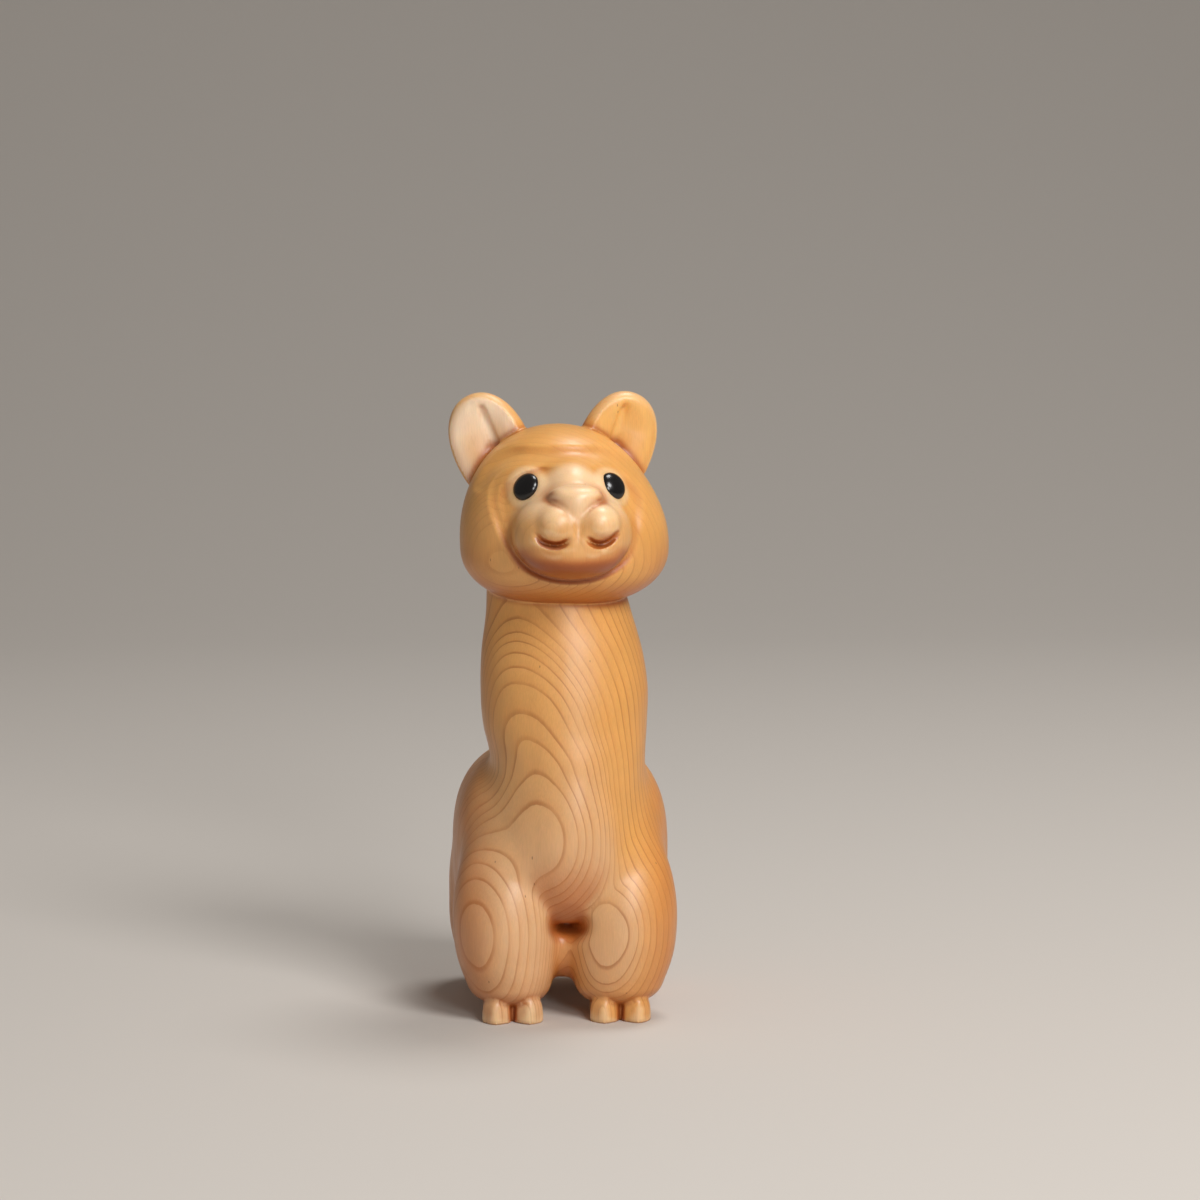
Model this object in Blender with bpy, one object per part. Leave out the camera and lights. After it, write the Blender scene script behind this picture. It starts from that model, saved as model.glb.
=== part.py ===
"""A carved wooden alpaca, 78 mm tall: one block of wood and two inlaid horn eyes.

Metres, +Z up. The face looks along -Y. Everything is placed from the torso's middle and
from the ground. At the end the figure moves, so that the origin is under its middle.
"Right" and "left" are the animal's own.
"""

import math

import bmesh
import bpy
from mathutils import Euler, Matrix, Vector

MM = 0.001

FIGURE_HEIGHT = 78.0 * MM
FIGURE_LENGTH = 38.6 * MM

# Torso. Its height and length follow from the figure's
TORSO_WIDTH = 27.4 * MM
BELLY_HEIGHT = 5.0 * MM
CHEST_WIDTH = 18.4 * MM
CHEST_BOTTOM = 10.6 * MM
CHEST_RISE = 1.8 * MM  # how far the chest's bulge goes on above the back
CHEST_OVERHANG = 4.6 * MM  # how far the chest bulges in front of the torso
WEB_WIDTH = 11.0 * MM  # the web that joins the two front legs under the chest
WEB_LENGTH = 12.8 * MM
WEB_BOTTOM = 4.3 * MM
WEB_HEIGHT = 9.8 * MM
WEB_SET_BACK = 4.4 * MM  # behind the front legs' middle
TAIL_WIDTH = 6.2 * MM
TAIL_LENGTH = 10.0 * MM
TAIL_DROP = 8.8 * MM  # the tail's middle below the back
TAIL_OVERHANG = 2.4 * MM
TAIL_TILT = 14.0  # degrees, its tip away from the body

# Legs, each a bulb of fleece over a small foot
FLEECE_HEM = 1.5 * MM
STANCE_WIDTH = 15.0 * MM  # between the middles of the two front legs
HIND_STANCE_WIDTH = 15.3 * MM
HIND_LEG_INSET = 0.4 * MM  # the hind legs' back in front of the torso's rear end
LEG_STEP_OUT = 0.5 * MM  # how far the front legs stand out in front of the chest
FRONT_LEG_WIDTH = 13.4 * MM
FRONT_LEG_LENGTH = 14.2 * MM
HIND_LEG_WIDTH = 14.1 * MM
HIND_LEG_LENGTH = 15.2 * MM
LEG_TOP_DROP = 5.4 * MM  # below the back
LEG_TOP_INSET = 2.1 * MM  # how much nearer to the middle a leg's top is than its widest part
LEG_HEM_INSET = 0.7 * MM  # the same at its hem
SHOULDER_SET_BACK = 4.3 * MM  # how far the top of a front leg lies behind its middle
THIGH_SET_FORWARD = 2.9 * MM  # how far the top of a hind leg lies in front of its middle
LEG_PROFILE = (  # height up the leg and fullness there, as shares
    (0.0, 0.58),
    (0.045, 0.70),
    (0.13, 0.85),
    (0.245, 0.96),
    (0.37, 1.0),
    (0.51, 0.99),
    (0.66, 0.92),
    (0.85, 0.71),
    (1.0, 0.44),
)
HEEL_WIDTH = 7.2 * MM
HEEL_LENGTH = 8.0 * MM
HEEL_HEIGHT = 4.0 * MM  # its upper part is inside the fleece
HEEL_SET_BACK = 0.7 * MM  # behind the leg's middle
TOE_SIZE = 3.2 * MM  # a toe is a rounded square post with one corner to the front
TOE_HEIGHT = 3.3 * MM
TOE_SPACING = 4.0 * MM
TOE_FORWARD = 3.2 * MM  # in front of the leg's middle
TOE_SPLAY = 6.0  # degrees that each toe turns away from the other
FOOT_INSET = 0.6 * MM  # how much nearer to the middle a foot is than its leg

# Neck, a barrel that leans back as it rises
NECK_LENGTH = 17.8 * MM  # from the back up to the underside of the ruff
NECK_BASE_WIDTH = 20.2 * MM
NECK_MIDDLE_WIDTH = 21.2 * MM
NECK_TOP_WIDTH = 18.0 * MM
NECK_BASE_DEPTH = 21.2 * MM
NECK_MIDDLE_DEPTH = 19.6 * MM
NECK_TOP_DEPTH = 15.6 * MM
NECK_MIDDLE_RISE = 6.6 * MM  # where the neck is widest, above the back
NECK_BASE_SET_BACK = 1.8 * MM  # the throat behind the chest's front, at the back's height
NECK_TOP_SET_BACK = 6.0 * MM  # the same under the chin
NECK_LEAN = -0.8 * MM  # how far the neck's top stands to the right
NECK_ROOT = 16.0 * MM  # how far the barrel goes on down into the torso
NECK_CROWN = 6.2 * MM  # and up into the head
NECK_ROOT_TAPER = 0.4  # how much thinner its lower end is, as a share

# Head: a ruff of cheek fleece, with a cap above it
HEAD_HEIGHT = 22.9 * MM  # from the underside of the ruff to the top of the cap
RUFF_WIDTH = 26.3 * MM
RUFF_DEPTH = 22.2 * MM
RUFF_DROP = 7.4 * MM  # from the ruff's widest line down to its underside
RUFF_RISE = 11.6 * MM  # and up to where the cap takes over
RUFF_NOD = 5.0  # degrees, its top forward
CAP_WIDTH = 22.3 * MM
CAP_DEPTH = 21.2 * MM
CAP_HEIGHT = 19.8 * MM
CAP_SET_BACK = 0.5 * MM  # behind the ruff's middle
CAP_LEAN = -0.7 * MM  # the cap sits a little to the right

# Face: an egg-shaped field sunk into the head, with the muzzle standing out of it
FACE_OFFSET = 0.4 * MM  # the whole face sits a little to the left
FACE_WIDTH = 18.8 * MM
FACE_LEVEL_DROP = 9.3 * MM  # from the top of the cap to where the face is widest
FACE_RISE = 6.0 * MM  # from there up to its top edge
FACE_DROP = 9.3 * MM  # and down to its bottom edge
FACE_DEPTH = 0.6 * MM
FACE_OVERHANG = 4.0 * MM  # how far the lips stand out in front of the chest
MUZZLE_RISE = 10.1 * MM  # the muzzle's middle above the underside of the ruff
MUZZLE_WIDTH = 14.8 * MM
MUZZLE_HEIGHT = 10.8 * MM
MUZZLE_DEPTH = 12.4 * MM
MUZZLE_LENGTH = 5.4 * MM  # in front of the ruff
BRIDGE_WIDTH = 8.0 * MM
BRIDGE_DEPTH = 10.6 * MM
BRIDGE_HEIGHT = 8.8 * MM
BRIDGE_RISE = 3.9 * MM  # the bridge's middle above the muzzle's
BRIDGE_SET_BACK = 2.6 * MM  # its front behind the muzzle's
LIP_WIDTH = 5.4 * MM
LIP_HEIGHT = 5.0 * MM
LIP_DEPTH = 5.8 * MM
LIP_SPACING = 5.3 * MM  # between the middles of the two lip pads
LIP_RISE = 1.5 * MM  # the pads' middle above the muzzle's
LIP_OVERHANG = 0.4 * MM  # in front of the muzzle
LIP_LEAN = 12.0  # degrees, their tops towards the nose
CHIN_WIDTH = 10.8 * MM
CHIN_HEIGHT = 5.6 * MM
CHIN_DEPTH = 8.6 * MM
CHIN_DROP = 2.4 * MM  # the chin's middle below the muzzle's
CHIN_SET_BACK = 0.1 * MM  # its front behind the muzzle's
NOSE_WIDTH = 5.6 * MM
NOSE_DEPTH = 5.2 * MM
NOSE_TOP = 2.1 * MM  # from the nose's widest line up
NOSE_TIP = 3.1 * MM  # and down to its V
NOSE_RISE = 4.2 * MM  # its widest line above the muzzle's middle
NOSE_OVERHANG = 0.1 * MM
NOSE_TAPER = 0.45  # how much narrower its tip is than its widest line
MOUTH_WIDTH = 9.4 * MM
MOUTH_GAP = 2.2 * MM  # between the two crescents
MOUTH_DROP = 0.8 * MM  # their lowest point below the muzzle's middle
MOUTH_CURL = 1.1 * MM  # how far their ends turn up
MOUTH_GROOVE = 1.1 * MM  # width of the cut

# Ears: leaves that stand behind the cap, each with a V-shaped hollow in its front
EAR_WIDTH = 10.0 * MM
EAR_LENGTH = 15.0 * MM
EAR_THICKNESS = 5.4 * MM
EAR_SPREAD = 15.4 * MM  # between the middles of the two ears
EAR_OFFSET = -1.1 * MM  # the pair sits a little to the right, as the cap does
EAR_RISE = 3.9 * MM  # their tips above the top of the cap
EAR_SET_BACK = 3.4 * MM  # behind the middle of the head
EAR_LEAN = 24.0  # degrees outwards
EAR_TURN = 14.0  # degrees that the hollows face away from the middle
EAR_POWER = 2.15  # 2 is a plain ellipse
EAR_CREASE = -0.9 * MM  # the bottom of the hollow across the ear, towards the cap
EAR_INNER_RIM = 1.2 * MM
EAR_OUTER_RIM = 0.6 * MM
EAR_HOLLOW_DEPTH = 2.7 * MM
EAR_TIP_RIM = 0.6 * MM
EAR_RIM_STEP = 0.3 * MM  # the knife's depth along the rim

# Eyes: domed studs of horn, each with a peg glued into the head
EYE_DIAMETER = 3.6 * MM
EYE_SPACING = 10.8 * MM
EYE_RISE = 5.8 * MM  # above the muzzle's middle
EYE_TURN = 41.0  # degrees that an eye looks away from straight ahead
EYE_TILT = 27.0  # degrees that it looks up
EYE_DOME = 0.95 * MM
EYE_RIM = 0.7 * MM  # height of the stud's straight side
EYE_PROUD = 0.15 * MM  # how much of the straight side stands above the face
PEG_DIAMETER = 1.6 * MM
PEG_LENGTH = 3.0 * MM
CLEARANCE = 0.3 * MM  # glue gap round the studs and pegs

# Sizes and places that follow from the ones above
BACK_HEIGHT = FIGURE_HEIGHT - EAR_RISE - HEAD_HEIGHT - NECK_LENGTH
TORSO_LENGTH = FIGURE_LENGTH - FACE_OVERHANG - CHEST_OVERHANG - TAIL_OVERHANG
CHEST_FRONT = -TORSO_LENGTH / 2 - CHEST_OVERHANG
FRONT_LEG_Y = CHEST_FRONT - LEG_STEP_OUT + FRONT_LEG_LENGTH / 2
HIND_LEG_Y = TORSO_LENGTH / 2 - HIND_LEG_INSET - HIND_LEG_LENGTH / 2
RUFF_UNDERSIDE = BACK_HEIGHT + NECK_LENGTH
HEAD_TOP = RUFF_UNDERSIDE + HEAD_HEIGHT
MUZZLE_LEVEL = RUFF_UNDERSIDE + MUZZLE_RISE
MUZZLE_FRONT = CHEST_FRONT - FACE_OVERHANG + LIP_OVERHANG
HEAD_Y = MUZZLE_FRONT + MUZZLE_LENGTH + RUFF_DEPTH / 2

# How closely the carved surface is followed
GROUND_REACH = 2.0  # the block that saws the soles flat, in torso lengths and widths
BODY_VOXEL = 0.7 * MM
HEAD_VOXEL = 0.5 * MM
MUZZLE_VOXEL = 0.36 * MM
BODY_SMOOTHING = 10  # rounds
HEAD_SMOOTHING = 4
BODY_TRIANGLES = 3000
HEAD_TRIANGLES = 1500
MUZZLE_TRIANGLES = 1100


def add_object(name, mesh):
    """A new object in the scene for this mesh."""
    obj = bpy.data.objects.new(name, mesh)
    bpy.context.scene.collection.objects.link(obj)
    return obj


def drop(obj):
    """Removes an object that has done its work."""
    bpy.data.objects.remove(obj)


def material(name, colour, roughness):
    """A Principled material, with its colour in linear values."""
    made = bpy.data.materials.new(name)
    made.use_nodes = True
    shader = made.node_tree.nodes["Principled BSDF"]
    shader.inputs["Base Color"].default_value = (*colour, 1.0)
    shader.inputs["Roughness"].default_value = roughness
    shader.inputs["Metallic"].default_value = 0.0
    return made


def pebble(shape, middle, size, power=2.0, turn=(0, 0, 0), top=None, taper=0.0, fine=4):
    """Adds a rounded mass: an ellipsoid, or a squarer one with a power above 2.

    size is its full width, length and height, top is the height of its upper half
    where that differs, and taper narrows it towards its top. turn is about X, Y and Z,
    in degrees. fine is how often its faces are divided.
    """
    made = bmesh.ops.create_icosphere(shape, subdivisions=fine, radius=1.0)["verts"]
    half = Vector(size) / 2
    pose = turned(turn)
    for vert in made:
        spread = sum(abs(c) ** power for c in vert.co) ** (-1 / power)
        up = top if top and vert.co.z > 0 else half.z
        place = Vector((vert.co.x * half.x, vert.co.y * half.y, vert.co.z * up)) * spread
        place.x *= 1 - taper * vert.co.z * spread
        vert.co = pose @ place + Vector(middle)


def turned(degrees):
    return Euler([math.radians(angle) for angle in degrees]).to_matrix()


def column(shape, stations, sides=32):
    """Adds an upright loft. Each station is its middle point, its width and its length."""
    rings = []
    for middle, width, length in stations:
        ring = []
        for i in range(sides):
            angle = 2 * math.pi * i / sides
            offset = Vector((math.cos(angle) * width / 2, math.sin(angle) * length / 2, 0))
            ring.append(shape.verts.new(Vector(middle) + offset))
        rings.append(ring)
    for low, high in zip(rings, rings[1:]):
        for i in range(sides):
            j = (i + 1) % sides
            shape.faces.new((low[i], low[j], high[j], high[i]))
    shape.faces.new(rings[0][::-1])
    shape.faces.new(rings[-1])


def evaluated_copy(obj, name):
    """A new object with the modifiers of this one applied. The old one is removed."""
    graph = bpy.context.evaluated_depsgraph_get()
    mesh = bpy.data.meshes.new_from_object(obj.evaluated_get(graph))
    drop(obj)
    return add_object(name, mesh)


def carve(shape, name, voxel, rounds, triangles):
    """Blends the masses in a bmesh into one skin with soft creases."""
    mesh = bpy.data.meshes.new(name)
    shape.to_mesh(mesh)
    shape.free()
    obj = add_object(name, mesh)
    skin = obj.modifiers.new("skin", "REMESH")
    skin.mode = "VOXEL"
    skin.voxel_size = voxel
    soften = obj.modifiers.new("soften", "SMOOTH")
    soften.factor = 0.5
    soften.iterations = rounds
    obj = evaluated_copy(obj, name)
    thin = obj.modifiers.new("thin", "DECIMATE")
    thin.ratio = min(1.0, triangles / (2 * len(obj.data.polygons)))
    return evaluated_copy(obj, name)


def shape_object(shape, name):
    """An object from a bmesh, as it is."""
    mesh = bpy.data.meshes.new(name)
    bmesh.ops.recalc_face_normals(shape, faces=shape.faces)
    shape.to_mesh(mesh)
    shape.free()
    return add_object(name, mesh)


def combine(obj, other, operation):
    """Joins, cuts or intersects, and removes the other object."""
    modifier = obj.modifiers.new(operation.lower(), "BOOLEAN")
    modifier.operation = operation
    modifier.object = other
    done = evaluated_copy(obj, obj.name)
    drop(other)
    return done


def torso_and_legs():
    """Fleece from the hem up to the back, with the neck rising out of it."""
    shape = bmesh.new()
    middle = (0, 0, (BACK_HEIGHT + BELLY_HEIGHT) / 2)
    pebble(shape, middle, (TORSO_WIDTH, TORSO_LENGTH, BACK_HEIGHT - BELLY_HEIGHT), power=2.75)
    chest_length = CHEST_OVERHANG + TORSO_LENGTH / 2
    chest_top = BACK_HEIGHT + CHEST_RISE
    middle = (0, -chest_length / 2, (CHEST_BOTTOM + chest_top) / 2)
    pebble(shape, middle, (CHEST_WIDTH, chest_length, chest_top - CHEST_BOTTOM))
    middle = (0, FRONT_LEG_Y + WEB_SET_BACK, WEB_BOTTOM + WEB_HEIGHT / 2)
    pebble(shape, middle, (WEB_WIDTH, WEB_LENGTH, WEB_HEIGHT), power=2.4)
    middle = (0, TORSO_LENGTH / 2 + TAIL_OVERHANG - TAIL_WIDTH / 2, BACK_HEIGHT - TAIL_DROP)
    pebble(shape, middle, (TAIL_WIDTH, TAIL_WIDTH, TAIL_LENGTH), turn=(TAIL_TILT, 0, 0))
    for side in (-1, 1):
        front = (side * STANCE_WIDTH / 2, FRONT_LEG_Y)
        leg(shape, side, front, FRONT_LEG_WIDTH, FRONT_LEG_LENGTH, SHOULDER_SET_BACK)
        hind = (side * HIND_STANCE_WIDTH / 2, HIND_LEG_Y)
        leg(shape, side, hind, HIND_LEG_WIDTH, HIND_LEG_LENGTH, -THIGH_SET_FORWARD)
    neck(shape)
    return carve(shape, "carved_body", BODY_VOXEL, BODY_SMOOTHING, BODY_TRIANGLES)


def leg(shape, side, middle, width, length, set_back):
    """A bulb of fleece: drawn in at the hem, widest below half its height, its top bent in and back."""
    stations = []
    for rise, swell in LEG_PROFILE:
        inset = LEG_TOP_INSET * rise**3 + LEG_HEM_INSET * (1 - rise) ** 6
        x, y = middle[0] - side * inset, middle[1] + set_back * rise**2
        z = FLEECE_HEM + rise * (BACK_HEIGHT - LEG_TOP_DROP - FLEECE_HEM)
        stations.append(((x, y, z), width * swell, length * swell))
    column(shape, stations)


def neck(shape):
    """A barrel from inside the torso to inside the head."""
    share = NECK_MIDDLE_RISE / NECK_LENGTH
    widths = (NECK_BASE_WIDTH, NECK_MIDDLE_WIDTH, NECK_TOP_WIDTH)
    depths = (NECK_BASE_DEPTH, NECK_MIDDLE_DEPTH, NECK_TOP_DEPTH)
    stations = []
    steps = 16
    for i in range(steps + 1):
        rise = (NECK_ROOT + NECK_LENGTH + NECK_CROWN) * i / steps - NECK_ROOT
        t = rise / NECK_LENGTH
        along = min(max(t, 0.0), 1.0)
        front = CHEST_FRONT + NECK_BASE_SET_BACK + (NECK_TOP_SET_BACK - NECK_BASE_SET_BACK) * along
        width, depth = through(along, share, widths), through(along, share, depths)
        sunk = 1 - NECK_ROOT_TAPER * (rise / NECK_ROOT) ** 2 if rise < 0 else 1.0
        middle = (NECK_LEAN * along**2, front + depth / 2, BACK_HEIGHT + rise)
        stations.append((middle, width * sunk, depth * sunk))
    column(shape, stations)


def through(t, share, values):
    """A parabola through three values, at 0, share and 1."""
    a, b, c = values
    return (
        a * (t - share) * (t - 1) / share
        + b * t * (t - 1) / (share * (share - 1))
        + c * t * (t - share) / (1 - share)
    )


def foot(side, x, y):
    """A heel and two toes, each with a ridge down its front. Their lower halves are sawn off later."""
    heel = bmesh.new()
    pebble(heel, (x, y + HEEL_SET_BACK, 0), (HEEL_WIDTH, HEEL_LENGTH, 2 * HEEL_HEIGHT), power=2.6, fine=3)
    made = shape_object(heel, "foot")
    for out in (-1, 1):
        toe = bmesh.new()
        middle = (x + out * TOE_SPACING / 2, y - TOE_FORWARD, 0)
        size = (TOE_SIZE, TOE_SIZE, 2 * TOE_HEIGHT)
        pebble(toe, middle, size, power=3.2, turn=(0, 0, 45 + out * TOE_SPLAY), fine=3)
        made = combine(made, shape_object(toe, "toe"), "UNION")
    return made


def ground():
    """A block under Z = 0 that saws the soles flat."""
    shape = bmesh.new()
    reach = GROUND_REACH * (TORSO_LENGTH + TORSO_WIDTH)
    bmesh.ops.create_cube(shape, size=reach)
    bmesh.ops.translate(shape, verts=shape.verts, vec=(0, 0, -reach / 2))
    return shape_object(shape, "ground")


def head_masses(shape, sunk):
    """The ruff and the cap, with every surface this far below its finished place."""
    pebble(
        shape,
        (0, HEAD_Y, RUFF_UNDERSIDE + RUFF_DROP),
        (RUFF_WIDTH - 2 * sunk, RUFF_DEPTH - 2 * sunk, 2 * (RUFF_DROP - sunk)),
        power=2.25,
        turn=(RUFF_NOD, 0, 0),
        top=RUFF_RISE - sunk,
    )
    pebble(
        shape,
        (CAP_LEAN, HEAD_Y + CAP_SET_BACK, HEAD_TOP - CAP_HEIGHT / 2),
        (CAP_WIDTH - 2 * sunk, CAP_DEPTH - 2 * sunk, CAP_HEIGHT - 2 * sunk),
    )


def head():
    """Ruff and cap, with the face sunk into them."""
    shape = bmesh.new()
    head_masses(shape, 0)
    whole = carve(shape, "head", HEAD_VOXEL, HEAD_SMOOTHING, HEAD_TRIANGLES)
    shape = bmesh.new()
    head_masses(shape, FACE_DEPTH)
    core = carve(shape, "core", HEAD_VOXEL, HEAD_SMOOTHING, HEAD_TRIANGLES)
    plug = combine(face_plug(), core, "DIFFERENCE")
    return combine(whole, plug, "DIFFERENCE")


def face_plug(sides=48):
    """An egg-shaped outline, pushed through the front half of the head."""
    shape = bmesh.new()
    level = HEAD_TOP - FACE_LEVEL_DROP
    rings = []
    for y in (HEAD_Y - RUFF_DEPTH, HEAD_Y - 0.12 * RUFF_DEPTH):
        ring = []
        for i in range(sides):
            angle = 2 * math.pi * i / sides
            across, up = math.cos(angle), math.sin(angle)
            reach = FACE_RISE if up > 0 else FACE_DROP
            ring.append(shape.verts.new((FACE_OFFSET + across * FACE_WIDTH / 2, y, level + up * reach)))
        rings.append(ring)
    front, rear = rings
    for i in range(sides):
        j = (i + 1) % sides
        shape.faces.new((front[i], front[j], rear[j], rear[i]))
    shape.faces.new(front)
    shape.faces.new(rear[::-1])
    return shape_object(shape, "plug")


def muzzle():
    """Bridge, muzzle, lips, chin and nose, blended tightly."""
    shape = bmesh.new()
    middle = (FACE_OFFSET, MUZZLE_FRONT + MUZZLE_DEPTH / 2, MUZZLE_LEVEL)
    pebble(shape, middle, (MUZZLE_WIDTH, MUZZLE_DEPTH, MUZZLE_HEIGHT), power=2.1)
    middle = (FACE_OFFSET, MUZZLE_FRONT + CHIN_SET_BACK + CHIN_DEPTH / 2, MUZZLE_LEVEL - CHIN_DROP)
    pebble(shape, middle, (CHIN_WIDTH, CHIN_DEPTH, CHIN_HEIGHT))
    for side in (-1, 1):
        x = FACE_OFFSET + side * LIP_SPACING / 2
        middle = (x, MUZZLE_FRONT - LIP_OVERHANG + LIP_DEPTH / 2, MUZZLE_LEVEL + LIP_RISE)
        pebble(shape, middle, (LIP_WIDTH, LIP_DEPTH, LIP_HEIGHT), turn=(0, -side * LIP_LEAN, 0))
    middle = (FACE_OFFSET, MUZZLE_FRONT - NOSE_OVERHANG + NOSE_DEPTH / 2, MUZZLE_LEVEL + NOSE_RISE)
    pebble(shape, middle, (NOSE_WIDTH, NOSE_DEPTH, 2 * NOSE_TIP), top=NOSE_TOP, taper=-NOSE_TAPER)
    middle = (FACE_OFFSET, MUZZLE_FRONT + BRIDGE_SET_BACK + BRIDGE_DEPTH / 2, MUZZLE_LEVEL + BRIDGE_RISE)
    pebble(shape, middle, (BRIDGE_WIDTH, BRIDGE_DEPTH, BRIDGE_HEIGHT))
    return carve(shape, "muzzle", MUZZLE_VOXEL, HEAD_SMOOTHING, MUZZLE_TRIANGLES)


def ear(side):
    """A leaf behind the cap, hollowed on its front."""
    lean = math.radians(EAR_LEAN)
    tip = math.hypot(EAR_LENGTH / 2 * math.cos(lean), EAR_WIDTH / 2 * math.sin(lean))
    middle = (EAR_OFFSET + side * EAR_SPREAD / 2, HEAD_Y + EAR_SET_BACK, HEAD_TOP + EAR_RISE - tip)
    pose = Matrix.Translation(middle) @ turned((0, side * EAR_LEAN, side * EAR_TURN)).to_4x4()
    shape = bmesh.new()
    pebble(shape, (0, 0, 0), (EAR_WIDTH, EAR_THICKNESS, EAR_LENGTH), power=EAR_POWER, fine=3)
    leaf = moved(shape_object(shape, "ear"), pose)
    return combine(leaf, moved(ear_hollow(side), pose), "DIFFERENCE")


def ear_surface(across, along):
    """How far the leaf's front stands out at a place on it."""
    share = abs(2 * across / EAR_WIDTH) ** EAR_POWER + abs(2 * along / EAR_LENGTH) ** EAR_POWER
    return EAR_THICKNESS / 2 * max(0.0, 1 - share) ** (1 / EAR_POWER)


def ear_hollow(side, steps=12):
    """The wood that comes out of an ear: a loft whose back is a V, with the crease nearer to the cap."""
    shape = bmesh.new()
    rings = []
    for i in range(steps + 1):
        t = (1 - 2 * EAR_TIP_RIM / EAR_LENGTH) * (2 * i / steps - 1)
        along = t * EAR_LENGTH / 2
        half = EAR_WIDTH / 2 * (1 - abs(t) ** EAR_POWER) ** (1 / EAR_POWER)
        inner, outer = EAR_INNER_RIM - half, half - EAR_OUTER_RIM
        crease = min(max(EAR_CREASE, 0.8 * inner), 0.8 * outer)
        depth = EAR_HOLLOW_DEPTH * 2 * half / EAR_WIDTH
        corners = (
            (inner, -EAR_THICKNESS),
            (outer, -EAR_THICKNESS),
            (outer, EAR_RIM_STEP - ear_surface(outer, along)),
            (crease, depth - ear_surface(crease, along)),
            (inner, EAR_RIM_STEP - ear_surface(inner, along)),
        )
        rings.append([shape.verts.new((side * across, through, along)) for across, through in corners])
    for low, high in zip(rings, rings[1:]):
        for i in range(len(low)):
            j = (i + 1) % len(low)
            shape.faces.new((low[i], low[j], high[j], high[i]))
    shape.faces.new(rings[0][::-1])
    shape.faces.new(rings[-1])
    return shape_object(shape, "hollow")


def stud(name, grow):
    """A turned stud: peg, straight rim and dome, its axis along Z and its rim's base at Z = 0."""
    radius, peg = EYE_DIAMETER / 2 + grow, PEG_DIAMETER / 2 + grow
    profile = [(0, -PEG_LENGTH - grow), (peg, -PEG_LENGTH - grow), (peg, -grow), (radius, -grow)]
    steps = 6
    for i in range(steps + 1):
        angle = math.pi / 2 * i / steps
        dome = EYE_RIM + (EYE_DOME + grow) * math.sin(angle)
        profile.append((radius * math.cos(angle) if i < steps else 0, dome))
    shape = bmesh.new()
    verts = [shape.verts.new((x, 0, z)) for x, z in profile]
    edges = [shape.edges.new(pair) for pair in zip(verts, verts[1:])]
    bmesh.ops.spin(
        shape, geom=verts + edges, cent=(0, 0, 0), axis=(0, 0, 1), angle=2 * math.pi, steps=32
    )
    bmesh.ops.remove_doubles(shape, verts=shape.verts, dist=0.001 * MM)
    return shape_object(shape, name)


def eye_pose(body, side):
    """The frame of an eye's stud on the face, found by looking in from the front."""
    x = FACE_OFFSET + side * EYE_SPACING / 2
    start = Vector((x, MUZZLE_FRONT - MUZZLE_LENGTH, MUZZLE_LEVEL + EYE_RISE))
    _, point, _, _ = body.ray_cast(start, Vector((0, 1, 0)))
    turn, tilt = math.radians(side * EYE_TURN), math.radians(EYE_TILT)
    outward = Vector((math.sin(turn) * math.cos(tilt), -math.cos(turn) * math.cos(tilt), math.sin(tilt)))
    pose = outward.to_track_quat("Z", "Y").to_matrix().to_4x4()
    return Matrix.Translation(point) @ pose @ Matrix.Translation((0, 0, EYE_PROUD - EYE_RIM))


def mouth_cutter(face, steps=12):
    """Two thin bars along the mouth's crescents, laid on the lips by looking in from the front."""
    curve = bpy.data.curves.new("mouth", "CURVE")
    curve.dimensions = "3D"
    curve.bevel_depth = MOUTH_GROOVE / 2
    curve.bevel_resolution = 1
    curve.use_fill_caps = True
    for side in (-1, 1):
        spline = curve.splines.new("POLY")
        spline.points.add(steps)
        for i, point in enumerate(spline.points):
            t = i / steps
            x = FACE_OFFSET + side * (MOUTH_GAP + (MOUTH_WIDTH - MOUTH_GAP) * t) / 2
            z = MUZZLE_LEVEL - MOUTH_DROP + MOUTH_CURL * (2 * t - 1) ** 2
            _, hit, _, _ = face.ray_cast(Vector((x, MUZZLE_FRONT - MUZZLE_LENGTH, z)), Vector((0, 1, 0)))
            point.co = (*hit, 1)
    made = add_object("mouth", curve)
    graph = bpy.context.evaluated_depsgraph_get()
    mesh = bpy.data.meshes.new_from_object(made.evaluated_get(graph))
    drop(made)
    return add_object("mouth", mesh)


def moved(obj, pose):
    obj.data.transform(pose)
    return obj


def settle_on_origin(pieces):
    """Moves everything so that the origin is under the middle of the figure's box."""
    corners = [v.co for obj in pieces for v in obj.data.vertices]
    low = Vector([min(c[i] for c in corners) for i in range(3)])
    high = Vector([max(c[i] for c in corners) for i in range(3)])
    shift = Vector((-(low.x + high.x) / 2, -(low.y + high.y) / 2, -low.z))
    for obj in pieces:
        obj.data.transform(Matrix.Translation(shift))


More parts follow.
